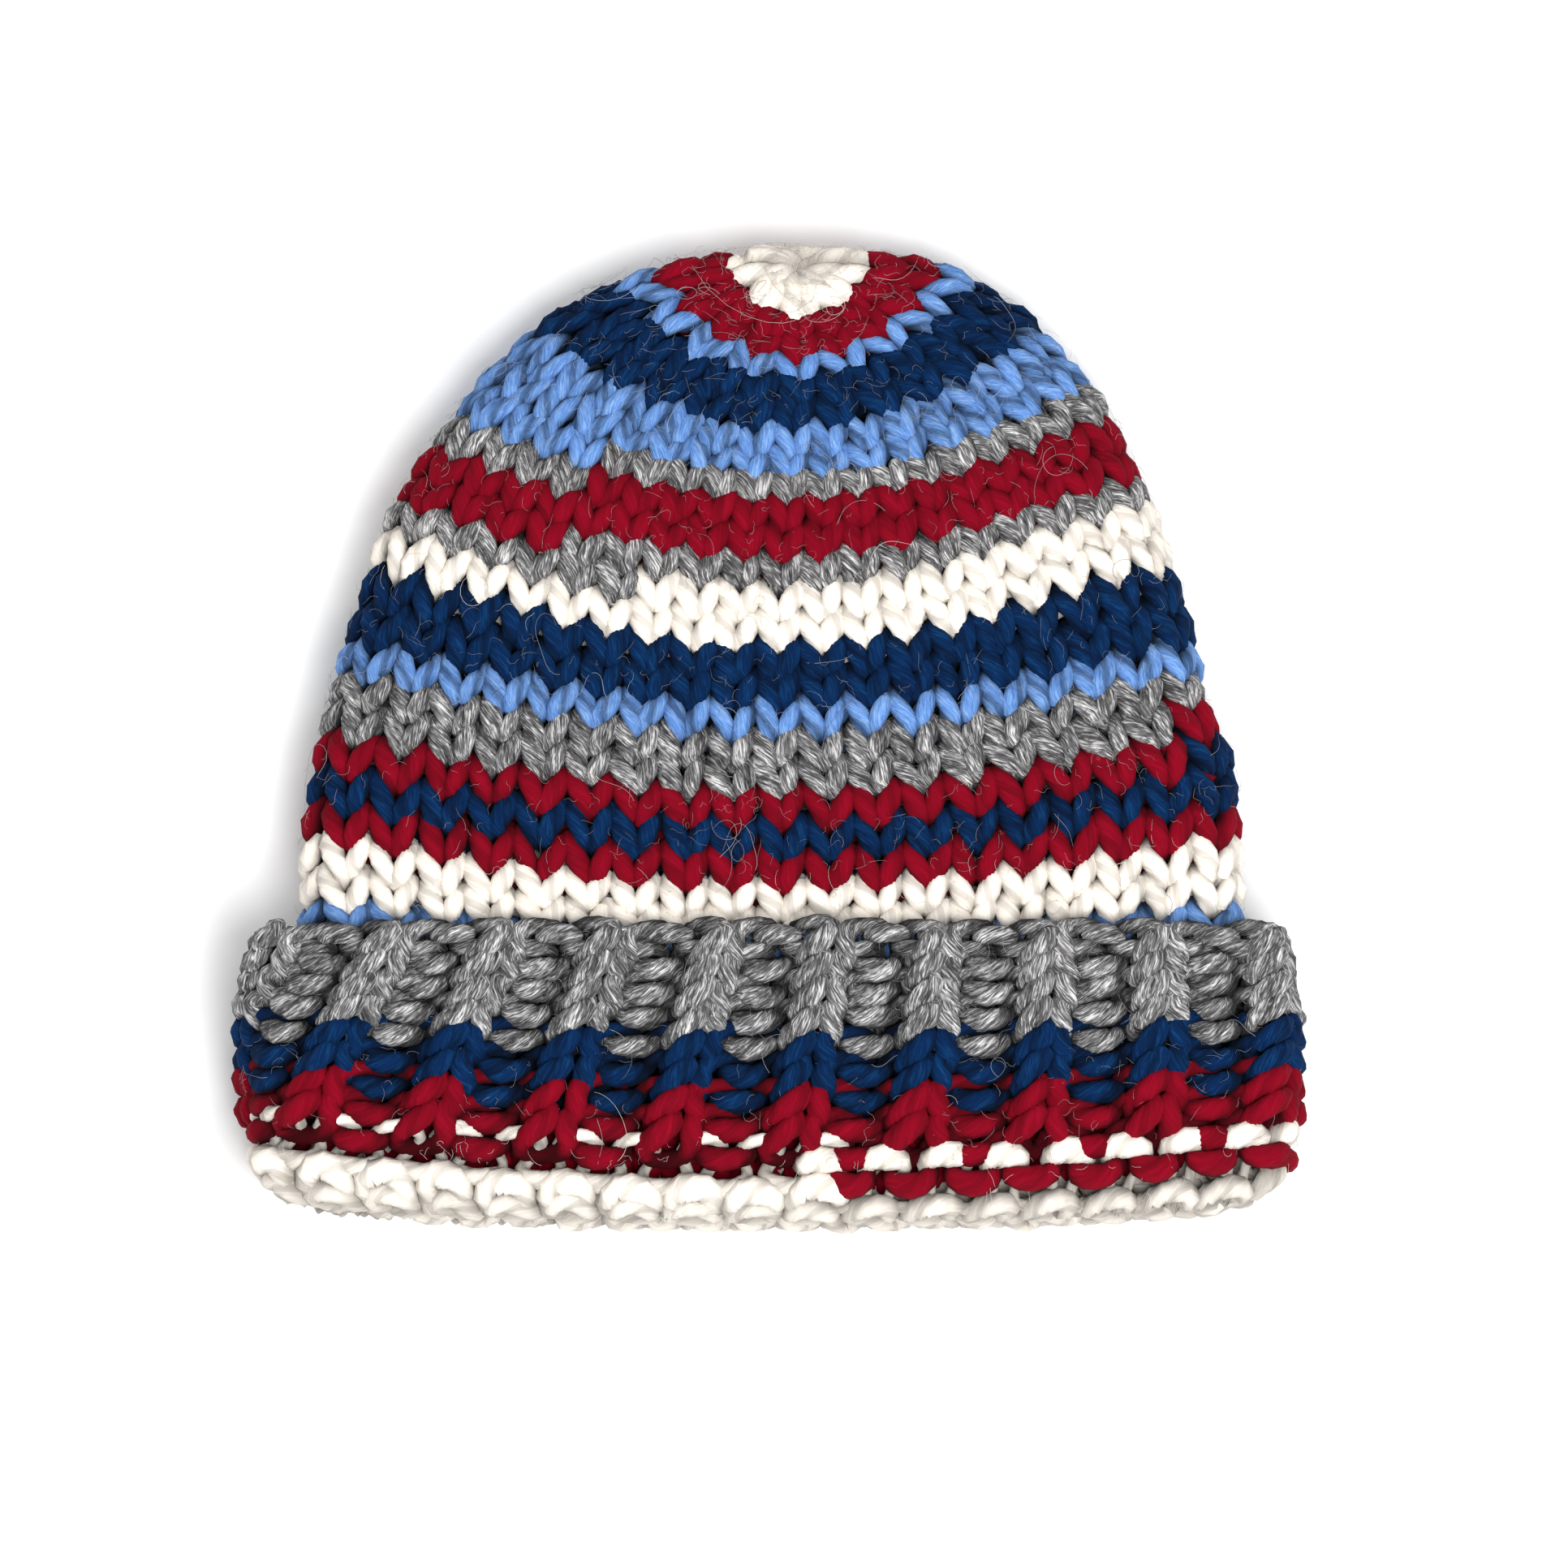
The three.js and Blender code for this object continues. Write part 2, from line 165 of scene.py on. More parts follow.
def fabric_sheet():
    """The middle of the wall and its right-side directions, on a grid of courses and turns."""
    cuff = even_rings(CUFF_SECTIONS, np.arange(0, CUFF_ROWS + COURSE_STEP / 2, COURSE_STEP))
    body = even_rings(BODY_SECTIONS, np.arange(-HIDDEN_ROWS, BODY_ROWS + COURSE_STEP / 2, COURSE_STEP))
    fold = fold_rings(cuff[-1], body[0], body[ROWS_PER_COURSE])
    middle = np.concatenate([cuff, fold, body])
    along = np.gradient(np.concatenate([middle[:, -2:-1], middle, middle[:, 1:2]], axis=1), axis=1)[:, 1:-1]
    across = np.gradient(middle, axis=0)
    outward = unit(np.cross(along, across))
    outward[-2:] = unit(outward[-3] * POLE_SHARE + outward[-3].mean(axis=0))
    return middle, outward


MIDDLE, OUTWARD = fabric_sheet()

# The last place on the grid that still has a row of points beyond it.
LAST_PLACE = len(MIDDLE) - 1.001


def on_fabric(course, turn, offset):
    """Points off the wall's middle by offset along its right side, read from the grid between its points.
    Before the cast-on edge the first course goes on in a straight line."""
    row = np.clip((course - CAST_ON) / COURSE_STEP, 0, LAST_PLACE)
    column = (turn % 1) * TURNS
    i, j = row.astype(int), column.astype(int)
    a, b = (row - i)[..., None], (column - j)[..., None]

    def read(grid):
        low = grid[i, j] * (1 - b) + grid[i, j + 1] * b
        high = grid[i + 1, j] * (1 - b) + grid[i + 1, j + 1] * b
        return low * (1 - a) + high * a

    normal = unit(read(OUTWARD))
    before = CAST_ON - course
    beyond = np.clip(before, 0, None)[..., None] * (MIDDLE[0, j] - MIDDLE[ROWS_PER_COURSE, j])
    return read(MIDDLE) + beyond + normal * offset[..., None], normal


# The yarn: plies twisted together to the left. The blue and gray yarns are firmly plied, and the red and
# white ones are soft and nearly smooth: plies, how deep the creases between them are, and in how many mm
# each ply goes once round.
YARN_RADIUS = 2.66
PLIES = {
    "light_blue": (2, 0.24, 22.0),
    "navy": (2, 0.18, 18.0),
    "red": (2, 0.1, 20.0),
    "gray": (2, 0.18, 19.0),
    "white": (2, 0.12, 16.0),
}
CREASE_ROUNDING = 0.8

# A tube's sides, its rings for each stitch, and the rings that it runs on past each of its ends.
SIDES = 12
SEGMENTS = 20
OVERLAP = 3

# Each strand starts at its own place in the dye's pattern, up to this many mm along it.
PATTERN_LENGTH = 900

# The height that marks loose fibres, above that of any stitch.
LOOSE = 15.0

# The gauge and where the stitches lie round the hat.
STITCHES = 40
STITCH_PHASE = 0.185
RIBS = STITCHES // 2
RIB_RELIEF = 1.6
RIB_SHARPNESS = 2.2

# The cuff's ribs lean as they go down: turns for each course, from the course where they stand true, and more
# of it towards the left edge than towards the right one.
RIB_LEAN = -0.0026
RIB_FAN = 0.0022
TRUE_COURSE = -20.1

# How a stitch is drawn: half the height of its loop in courses, how far its legs lean and the loop slants,
# how far in mm its legs stand off the wall's middle and its head lies behind them, how much more its left leg
# does, how far its sinkers come forward, and how thick the yarn is at the legs, the head and the sinkers, on
# the stitch's knit side and on its purl side.
PLAIN = {"height": 0.86, "lean": 0.24, "slant": 0.0, "depth": 2.5, "head": 0.8, "left": 0.0, "forward": 0.0,
         "knit": (1.04, 0.86, 0.86), "purl": (1.04, 0.86, 0.86)}
RIBBED = {"height": 0.86, "lean": 0.24, "slant": 0.13, "depth": 2.4, "head": 1.2, "left": 0.9, "forward": 1.5,
          "knit": (1.12, 0.8, 0.75), "purl": (0.6, 1.16, 0.7)}
HEADS = {"height": 0.86, "lean": 0.2, "slant": 0.0, "depth": 1.6, "head": 1.2, "left": 0.0, "forward": 0.0,
         "knit": (0.8, 1.2, 0.8), "purl": (0.8, 1.2, 0.8)}
PEEKS = {"height": 0.86, "lean": 0.2, "slant": 0.0, "depth": 1.7, "head": -0.6, "left": 0.0, "forward": 0.0,
         "knit": (0.5, 0.9, 0.66), "purl": (0.5, 0.9, 0.66)}
SINKERS = {"height": 0.86, "lean": 0.19, "slant": 0.0, "depth": 1.2, "head": -1.0, "left": 0.0,
           "forward": 0.0, "knit": (0.5, 0.6, 1.28), "purl": (0.5, 0.6, 1.28)}
LUMPS = {"height": 0.86, "lean": 0.19, "slant": 0.0, "depth": 0.8, "head": -1.0, "left": 0.0, "forward": 0.0,
         "knit": (1.1, 1.1, 1.4), "purl": (1.1, 1.1, 1.4)}
ROUNDED = {"height": 0.86, "lean": 0.19, "slant": 0.0, "depth": 0.2, "head": -0.6, "left": 0.0,
           "forward": 0.0, "knit": (1.0, 1.0, 1.1), "purl": (1.0, 1.0, 1.1)}
EDGE = {"height": 0.28, "lean": 0.2, "slant": 0.0, "depth": 2.6, "head": -0.5, "left": 0.0, "forward": 0.0,
        "knit": (0.55, 0.8, 0.95), "purl": (0.55, 0.8, 0.95)}
CROWN = {"height": 1.05, "lean": 0.25, "slant": 0.0, "depth": 2.3, "head": 1.2, "left": 0.0, "forward": 0.0,
         "knit": (1.04, 0.84, 0.84), "purl": (1.04, 0.84, 0.84)}
STAR = {"height": 1.5, "lean": 0.26, "slant": 0.0, "depth": 1.7, "head": 0.6, "left": 0.0, "forward": 0.0,
        "knit": (1.25, 0.5, 0.7), "purl": (1.25, 0.5, 0.7)}

# How uneven hand knitting is, as the spread from leg to leg: of the lean and the place across in stitches, of
# the loop's height as a share and its place up in courses, of its depth in mm, and of the yarn's thickness as
# a share.
UNEVEN = {"lean": 0.022, "across": 0.03, "height": 0.06, "up": 0.05, "depth": 0.35, "thick": 0.04}

rng = np.random.default_rng(11)


def legs_noise(u, count, feature):
    """A number for each leg of each stitch, carried smoothly from one leg to the next along the yarn."""
    values = rng.normal(0, UNEVEN[feature], 2 * count)
    legs = (u * 2 - 0.5) % (2 * count)
    low = np.floor(legs).astype(int)
    share = legs - low
    share = share * share * (3 - 2 * share)
    return values[low % (2 * count)] * (1 - share) + values[(low + 1) % (2 * count)] * share


def rib_side(turn):
    """+1 in the columns whose knit side is the fabric's right side, -1 in the ones between them, and between
    the two tanh (sharpness cos) / tanh (sharpness)."""
    wave = np.cos(TAU * RIBS * turn)
    return np.tanh(RIB_SHARPNESS * wave) / math.tanh(RIB_SHARPNESS)


def stitch_path(course, count, first, stitches, style, fabric, segments):
    """The yarn's middle line through some stitches of a course. Over one stitch t goes from -pi to pi: across
    is t / 2 pi + lean sin 2t - slant cos t, up is height cos t, and depth is -depth cos 2t - head cos t,
    turned to the other side in a purl column. On the cuff the sinkers also come forward by forward times
    ((1 - cos t) / 2) squared, and in a knit column the left leg stands forward and the right leg back by
    left sin t. Its ends run on a little beside the next stretch's."""
    steps = np.arange(-OVERLAP, stitches * segments + OVERLAP + 1)
    u = first + steps / segments
    t = (steps / segments % 1) * TAU - math.pi
    lean = style["lean"] + legs_noise(u, count, "lean")
    across = np.floor(steps / segments) + 0.5 + t / TAU + lean * np.sin(2 * t) - style["slant"] * np.cos(t)
    across += legs_noise(u, count, "across")
    phase = STITCH_PHASE * count / STITCHES if fabric == "plain" else 0.0
    turn = (first + across - 0.5 + phase) / count
    up = course + style["height"] * (1 + legs_noise(u, count, "height")) * np.cos(t)
    up += legs_noise(u, count, "up")
    depth = -(style["depth"] + legs_noise(u, count, "depth")) * np.cos(2 * t) - style["head"] * np.cos(t)
    purl = np.zeros_like(t)
    if fabric != "plain":
        side = rib_side(turn) if fabric == "rib" else np.ones_like(t)
        relief = RIB_RELIEF * side if fabric == "rib" else 0.0
        purl = (1 + side) / 2
        depth = depth * side + relief - style["forward"] * ((1 - np.cos(t)) / 2) ** 2
        depth += style["left"] * np.sin(t) * (1 - purl)
        turn = turn + (RIB_LEAN + RIB_FAN * np.sin(TAU * turn)) * (up - TRUE_COURSE)
    legs, heads, sinkers = (k + (p - k) * purl for k, p in zip(style["knit"], style["purl"]))
    thick = legs * np.sin(t) ** 2 + np.where(np.cos(t) > 0, heads, sinkers) * np.cos(t) ** 2
    return up, turn, depth, YARN_RADIUS * (thick + legs_noise(u, count, "thick"))


def yarn_tube(up, turn, depth, radius, sides, facing, plies, crease, pitch):
    """A plied yarn along a path: rings of points at radius (1 - crease (1 - |sin (plies angle / 2)|^r)) about
    the middle line, where r is the creases' rounding. The rings turn to the left once in each pitch, and a
    point closes the tube at each end. Its wool is marked with its place in the yarn and with how far it lies
    above the wall's middle."""
    centre, normal = on_fabric(up, turn, depth)
    tangent = unit(np.gradient(centre, axis=0))
    normal = unit(normal - np.sum(normal * tangent, axis=1, keepdims=True) * tangent)
    binormal = np.cross(tangent, normal)
    length = np.concatenate([[0], np.cumsum(np.linalg.norm(np.diff(centre, axis=0), axis=1))])
    angles = np.arange(sides) * TAU / sides
    shape = 1 - crease * (1 - np.abs(np.sin(plies * angles / 2)) ** CREASE_ROUNDING)
    twist = rng.uniform(0, TAU) - TAU * length / pitch
    spin = angles[None, :] + twist[:, None]
    reach = radius[:, None] * shape[None, :]
    rings = centre[:, None] + reach[..., None] * (np.cos(spin)[..., None] * normal[:, None]
                                                  + np.sin(spin)[..., None] * binormal[:, None])
    marks = np.stack([
        np.broadcast_to(YARN_RADIUS * shape * np.cos(angles), spin.shape),
        np.broadcast_to(YARN_RADIUS * shape * np.sin(angles), spin.shape),
        np.broadcast_to(length[:, None] + rng.uniform(0, PATTERN_LENGTH), spin.shape),
        facing * (depth[:, None] + reach * np.cos(spin)),
    ], axis=-1)
    return rings, marks, centre[[0, -1]], marks[[0, -1], 0]


class YarnMesh:
    """Gathers tubes of yarn and makes one closed mesh of them. Each point is marked with its place across
    and along the yarn, and with its height above the wall's middle."""

    def __init__(self):
        self.points = []
        self.marks = []
        self.quads = []
        self.triangles = []
        self.count = 0

    def add(self, rings, marks, ends, end_marks):
        """One tube, from its rings of points and the two points that close it."""
        self.add_many(rings[None], marks[None], ends[None], end_marks[None])

    def add_many(self, rings, marks, ends, end_marks):
        """Tubes of one length: rings is their points by tube, ring and side."""
        tubes, n, sides = rings.shape[:3]
        size = n * sides + 2
        starts = self.count + np.arange(tubes)[:, None, None] * size
        grid = starts + np.arange(n * sides).reshape(n, sides)
        turned = np.roll(grid, -1, axis=2)
        quads = np.stack([grid[:, :-1], turned[:, :-1], turned[:, 1:], grid[:, 1:]], axis=-1)
        self.quads.append(quads.reshape(-1, 4))
        first = np.broadcast_to(starts[..., 0] + n * sides, (tubes, sides))
        self.triangles.append(np.stack([turned[:, 0], grid[:, 0], first], axis=-1).reshape(-1, 3))
        self.triangles.append(np.stack([grid[:, -1], turned[:, -1], first + 1], axis=-1).reshape(-1, 3))
        self.points.append(np.concatenate([rings.reshape(tubes, -1, 3), ends], axis=1).reshape(-1, 3))
        self.marks.append(np.concatenate([marks.reshape(tubes, -1, 4), end_marks], axis=1).reshape(-1, 4))
        self.count += tubes * size

    def finish(self, name, material):
        points = np.concatenate(self.points)
        points[:, 1] += ZERO_Y
        points[:, 2] = np.maximum(points[:, 2], 0)
        quads = np.concatenate(self.quads)
        triangles = np.concatenate(self.triangles)
        mesh = bpy.data.meshes.new(name)
        mesh.vertices.add(len(points))
        mesh.vertices.foreach_set("co", (points * MM).astype(np.float32).ravel())
        corners = np.concatenate([quads.ravel(), triangles.ravel()]).astype(np.int32)
        sizes = np.concatenate([np.full(len(quads), 4), np.full(len(triangles), 3)])
        mesh.loops.add(len(corners))
        mesh.loops.foreach_set("vertex_index", corners)
        mesh.polygons.add(len(sizes))
        mesh.polygons.foreach_set("loop_start", (np.cumsum(sizes) - sizes).astype(np.int32))
        mesh.polygons.foreach_set("use_smooth", np.ones(len(sizes), dtype=bool))
        marks = np.concatenate(self.marks).astype(np.float32)
        strand = mesh.attributes.new("strand", "FLOAT_VECTOR", "POINT")
        strand.data.foreach_set("vector", np.ascontiguousarray(marks[:, :3]).ravel())
        height = mesh.attributes.new("height", "FLOAT", "POINT")
        height.data.foreach_set("value", np.ascontiguousarray(marks[:, 3]))
        mesh.update()
        mesh.validate()
        mesh.materials.append(material)
        piece = bpy.data.objects.new(name, mesh)
        bpy.context.scene.collection.objects.link(piece)
        return piece


class Signal:
    """A number or colour that varies over a material's surface: a node's socket, with arithmetic."""

    def __init__(self, finish, socket):
        self.finish = finish
        self.socket = socket

    def _maths(self, operation, left, right):
        return self.finish.node("ShaderNodeMath", {"operation": operation}, {0: left, 1: right})

    def __add__(self, other):
        return self._maths("ADD", self, other)

    __radd__ = __add__

    def __mul__(self, other):
        return self._maths("MULTIPLY", self, other)

    __rmul__ = __mul__

    def __sub__(self, other):
        return self._maths("SUBTRACT", self, other)

    def __rsub__(self, other):
        return self._maths("SUBTRACT", other, self)


class Finish:
    """A material that is being made."""

    def __init__(self, name):
        self.material = bpy.data.materials.new(name)
        self.material.use_nodes = True
        self.tree = self.material.node_tree
        self.shader = next(n for n in self.tree.nodes if n.type == "BSDF_PRINCIPLED")

    def node(self, kind, settings=None, inputs=None, output=0):
        """Adds a node with its settings first and then its sockets' values or links."""
        node = self.tree.nodes.new(kind)
        for name, value in (settings or {}).items():
            if name == "stops":
                for element, (place, colour) in zip(node.color_ramp.elements, value):
                    element.position = place
                    element.color = colour
            else:
                setattr(node, name, value)
        for name, value in (inputs or {}).items():
            self.feed(node.inputs[name], value)
        return Signal(self, node.outputs[output])

    def feed(self, socket, value):
        if isinstance(value, Signal):
            self.tree.links.new(value.socket, socket)
        else:
            socket.default_value = value


def linear(colour):
    """A colour of 0 to 255 a channel as the linear light that a shader takes."""
    share = np.asarray(colour) / 255
    return (*np.where(share <= 0.04045, share / 12.92, ((share + 0.055) / 1.055) ** 2.4), 1.0)


# Each yarn's dye: its darkest, middle and lightest tones of 0 to 255 a channel, how strong and how fine its
# streaks are, its sheen, the share of its colour that painted shade leaves deep between the stitches, and
# how much paler its loose fibres are.
DYES = {
    "light_blue": {"dark": (56, 92, 156), "mid": (100, 142, 204), "light": (150, 184, 224),
                   "contrast": 1.5, "fineness": 2.4, "sheen": 0.08, "deep": 0.12, "loose": 0.3},
    "navy": {"dark": (0, 13, 38), "mid": (1, 35, 76), "light": (14, 68, 116),
             "contrast": 1.2, "fineness": 1.6, "sheen": 0.12, "deep": 0.12, "loose": 0.25},
    "red": {"dark": (90, 0, 14), "mid": (124, 0, 24), "light": (152, 8, 37),
            "contrast": 0.8, "fineness": 1.0, "sheen": 0.06, "deep": 0.22, "loose": 0.3},
    "gray": {"dark": (54, 53, 56), "mid": (112, 111, 112), "light": (224, 223, 222),
             "contrast": 2.6, "fineness": 2.5, "sheen": 0.05, "deep": 0.1, "loose": 0.1},
    "white": {"dark": (224, 208, 190), "mid": (248, 240, 229), "light": (253, 248, 241),
              "contrast": 0.8, "fineness": 1.0, "sheen": 0.05, "deep": 0.45, "loose": 0.0},
}

# Along the yarn the streaks and the wider blotches are drawn out to these shares of their scale, and the
# blotches are this much as strong as the streaks.
STREAK_STRETCH = 0.24
BLOTCH_STRETCH = 0.35
BLOTCH_SHARE = 0.4

# The creases between the plies end at this share of the yarn's radius, and painted shade darkens them by
# this times their depth.
CREASE_EDGE = 0.97
CREASE_SHADE = 2.4

# Heights above the wall's middle, in mm, between which the wool comes out of the painted shade.
SHADE_HEIGHTS = (1.2, 4.9)

# How much of the wool's relief comes from its streaks, and how high it is in metres.
STREAK_RELIEF = 0.6
RELIEF_HEIGHT = 0.0006


def yarn_finish(yarn):
    """Dyed wool: fibres run along each ply, with streaks of the dye's darker and lighter tones. Painted
    shade darkens the creases between the plies and leaves the wool deep between the stitches only a share
    of its colour, and loose fibres are paler."""
    dye = DYES[yarn]
    dark, mid, light = (linear(dye[tone]) for tone in ("dark", "mid", "light"))
    crease_depth = PLIES[yarn][1]
    finish = Finish(f"wool_{yarn}")
    strand = finish.node("ShaderNodeAttribute", {"attribute_name": "strand"}, output=1)

    def drawn_out(share):
        factors = (1.0, 1.0, share)
        return finish.node("ShaderNodeVectorMath", {"operation": "MULTIPLY"}, {0: strand, 1: factors})

    along = drawn_out(STREAK_STRETCH)
    streaks = finish.node("ShaderNodeTexNoise", None, {
        "Vector": along, "Scale": dye["fineness"], "Detail": 2.5, "Roughness": 0.55, "Distortion": 0.5})
    blotches = finish.node("ShaderNodeTexNoise", None, {
        "Vector": drawn_out(BLOTCH_STRETCH), "Scale": 0.45, "Detail": 2.0, "Roughness": 0.5})
    contrast = dye["contrast"]
    mixture = (streaks - 0.5) * contrast + (blotches - 0.5) * (BLOTCH_SHARE * contrast) + 0.5
    ramp = finish.node("ShaderNodeValToRGB", {"stops": [(0.0, dark), (1.0, light)]}, {0: mixture})
    middle = ramp.socket.node.color_ramp.elements.new(0.5)
    middle.color = mid

    reach = finish.node("ShaderNodeVectorMath", {"operation": "LENGTH"}, {0: drawn_out(0.0)}, output=1)
    # Painted shade: the colour darkens towards the creases between the plies.
    crease = finish.node("ShaderNodeMapRange", {"interpolation_type": "SMOOTHSTEP"}, {
        "Value": reach, "From Min": YARN_RADIUS * (1 - crease_depth), "From Max": YARN_RADIUS * CREASE_EDGE,
        "To Min": 1 - CREASE_SHADE * crease_depth, "To Max": 1.0})
    # Painted shade: the colour darkens the lower the wool lies between the stitches, down to the dye's deep
    # share.
    height = finish.node("ShaderNodeAttribute", {"attribute_name": "height"}, output=2)
    shade = finish.node("ShaderNodeMapRange", {"interpolation_type": "SMOOTHSTEP"}, {
        "Value": height, "From Min": SHADE_HEIGHTS[0], "From Max": SHADE_HEIGHTS[1],
        "To Min": dye["deep"], "To Max": 1.0})
    wool = finish.node("ShaderNodeVectorMath", {"operation": "SCALE"}, {0: ramp, "Scale": crease * shade})
    pale = finish.node("ShaderNodeMapRange", None, {
        "Value": height, "From Min": LOOSE - 1, "From Max": LOOSE, "To Min": 0.0, "To Max": dye["loose"]})
    white = (1, 1, 1, 1)
    colour = finish.node("ShaderNodeMix", {"data_type": "RGBA"}, {0: pale, 6: wool, 7: white}, output=2)

    fine = finish.node("ShaderNodeTexNoise", None, {
        "Vector": along, "Scale": 4.5, "Detail": 3.0, "Roughness": 0.6})
    relief = finish.node("ShaderNodeBump", None, {
        "Height": streaks * STREAK_RELIEF + fine * (1 - STREAK_RELIEF), "Strength": 0.6,
        "Distance": RELIEF_HEIGHT})
    finish.feed(finish.shader.inputs["Base Color"], colour)
    finish.feed(finish.shader.inputs["Normal"], relief)
    finish.feed(finish.shader.inputs["Roughness"], 0.95)
    finish.feed(finish.shader.inputs["Specular IOR Level"], 0.12)
    finish.feed(finish.shader.inputs["Sheen Weight"], dye["sheen"])
    finish.feed(finish.shader.inputs["Sheen Roughness"], 0.5)
    finish.feed(finish.shader.inputs["Sheen Tint"], light)
    return finish.material


YARNS = {yarn: yarn_finish(yarn) for yarn in DYES}

# The courses of the cuff: the course's middle, how its stitches are drawn, the fabric, the stripe, the first
# stitch and the number of stitches. Stitches count from the front's middle towards the right edge. From the
# last red course on, every stitch is purled on the side that shows. That course is red from near the front's
# middle round the right edge to the back. On the other side it is white and lies deeper.
CUFF_COURSES = [
    (-20.9, RIBBED, "rib", "cuff_rib_gray", 0, 40),
    (-20.0, RIBBED, "rib", "cuff_rib_gray", 0, 40),
    (-19.0, RIBBED, "rib", "cuff_rib_gray", 0, 40),
    (-18.0, RIBBED, "rib", "cuff_rib_gray", 0, 40),
    (-17.0, RIBBED, "rib", "cuff_rib_navy", 0, 40),
    (-15.97, RIBBED, "rib", "cuff_rib_navy", 0, 40),
    (-15.0, RIBBED, "rib", "cuff_rib_red", 0, 40),
    (-13.95, RIBBED, "rib", "cuff_rib_red", 0, 40),
    (-12.95, HEADS, "purl", "cuff_rib_red", 2, 18),
    (-12.95, PEEKS, "purl", "cuff_fold_white", 20, 22),
    (-12.2, SINKERS, "purl", "cuff_fold_white", 2, 18),
    (-11.2, LUMPS, "purl", "cuff_fold_white", 20, 22),
    (-10.7, ROUNDED, "purl", "cuff_fold_white", 0, 40),
    (-9.95, ROUNDED, "purl", "cuff_fold_white", 0, 40),
]

# The stripes of the wall inside the cuff and of the body, with their rows.
HIDDEN_STRIPES = [("inner_stripe_red", 3), ("inner_stripe_navy", 3), ("inner_stripe_gray", 4)]
BODY_STRIPES = [
    ("body_stripe_01_light_blue", 1),
    ("body_stripe_02_white", 2),
    ("body_stripe_03_red", 1),
    ("body_stripe_04_navy", 1),
    ("body_stripe_05_red", 1),
    ("body_stripe_06_gray", 2),
    ("body_stripe_07_light_blue", 1),
    ("body_stripe_08_navy", 2),
    ("body_stripe_09_white", 2),
    ("body_stripe_10_gray", 1),
    ("body_stripe_11_red", 2),
    ("body_stripe_12_gray", 1),
    ("crown_stripe_13_light_blue", 2),
    ("crown_stripe_14_navy", 2),
    ("crown_stripe_15_light_blue", 1),
    ("crown_stripe_16_red", 2),
    ("crown_tip_white", 2),
]

# Stitches left round the crown from each row on, as it is decreased in eight sections.
DECREASES = [(0, 40), (17, 32), (19, 24), (21, 16), (24, 8)]

# Where the yarn's colour changes part of the way round a row: the row, the first stitch and the stripe.
JOGS = {
    16: [(0, "body_stripe_12_gray"), (20, "crown_stripe_13_light_blue"), (35, "body_stripe_12_gray")],
    15: [(0, "body_stripe_11_red"), (20, "body_stripe_12_gray"), (35, "body_stripe_11_red")],
    13: [(0, "body_stripe_10_gray"), (20, "body_stripe_11_red"), (35, "body_stripe_10_gray")],
    12: [(0, "body_stripe_09_white"), (20, "body_stripe_10_gray"), (37, "body_stripe_09_white")],
    6: [(0, "body_stripe_06_gray"), (9, "body_stripe_05_red"), (20, "body_stripe_06_gray")],
    5: [(0, "body_stripe_05_red"), (9, "body_stripe_04_navy"), (20, "body_stripe_05_red")],
}


def stretches_of(starts, count):
    """Stretches of stitches in a course, from where each one starts."""
    ends = [first for first, _ in starts[1:]] + [count]
    return [(first, end - first, stripe) for (first, stripe), end in zip(starts, ends)]


def body_courses():
    """Each body row's course, its number of stitches and the stripes' stretches of stitches in it."""
    rows = [name for name, count in BODY_STRIPES for _ in range(count)]
    for row, name in enumerate(rows):
        count = [stitches for first, stitches in DECREASES if first <= row][-1]
        yield row + 0.5, count, stretches_of(JOGS.get(row, [(0, name)]), count)


meshes = {}


def yarn_of(stripe):
    """The yarn that a stripe's name ends in, and gray for the cast-on edge."""
    return next((yarn for yarn in YARNS if stripe.endswith(yarn)), "gray")


def knit(stripe, course, count, first, stitches, style, fabric, segments=SEGMENTS, sides=SIDES):
    """Adds a stretch of stitches in one course to a stripe's mesh."""
    path = stitch_path(course, count, first, stitches, style, fabric, segments)
    facing = 1 if fabric == "plain" else -1
    meshes.setdefault(stripe, YarnMesh()).add(*yarn_tube(*path, sides, facing, *PLIES[yarn_of(stripe)]))


for course, style, fabric, stripe, first, stitches in CUFF_COURSES:
    knit(stripe, course, STITCHES, first, stitches, style, fabric)

# The wall inside the cuff shows only through the mouth, so its yarn is drawn in fewer rings and sides. Its
# courses lie a little closer together, between the fold and the body.
HIDDEN_START = -9.3
HIDDEN_PITCH = 0.98
HIDDEN_SEGMENTS = 14
HIDDEN_SIDES = 8

hidden_rows = [name for name, count in HIDDEN_STRIPES for _ in range(count)]
for row, stripe in enumerate(hidden_rows):
    knit(stripe, HIDDEN_START + row * HIDDEN_PITCH, STITCHES, 0, STITCHES, PLAIN, "plain",
         HIDDEN_SEGMENTS, HIDDEN_SIDES)

# The crown's last rows are drawn as one course of long stitches, which make the star.
STAR_COURSE = 24.7
STAR_STITCHES = 8

for course, count, stretches in body_courses():
    style = PLAIN if count == STITCHES else CROWN
    for first, stitches, stripe in stretches:
        if stripe != "crown_tip_white":
            knit(stripe, course, count, first, stitches, style, "plain")
knit("crown_tip_white", STAR_COURSE, STAR_STITCHES, 0, STAR_STITCHES, STAR, "plain", 2 * SEGMENTS)

# The chain along the cuff's top edge, whose links lie between the stitches below them.
EDGE_COURSE = CAST_ON + 0.4
HALF_STITCH = 0.5
knit("cuff_cast_on_edge", EDGE_COURSE, STITCHES, HALF_STITCH, STITCHES, EDGE, "purl")

# Loose fibres: how many lie on each row of stitches, their points, length, thickness and how far they rise
# off the fabric in mm, and how sharply they curl in turns along their length.
SHORT_FIBRES = {"each": 110, "points": 6, "length": (1.8, 5.0), "radius": 0.045, "rise": 1.8, "curl": 0.25}
LONG_FIBRES = {"each": 6, "points": 16, "length": (8.0, 20.0), "radius": 0.075, "rise": 1.4, "curl": 0.8}
FIBRE_SIDES = 3

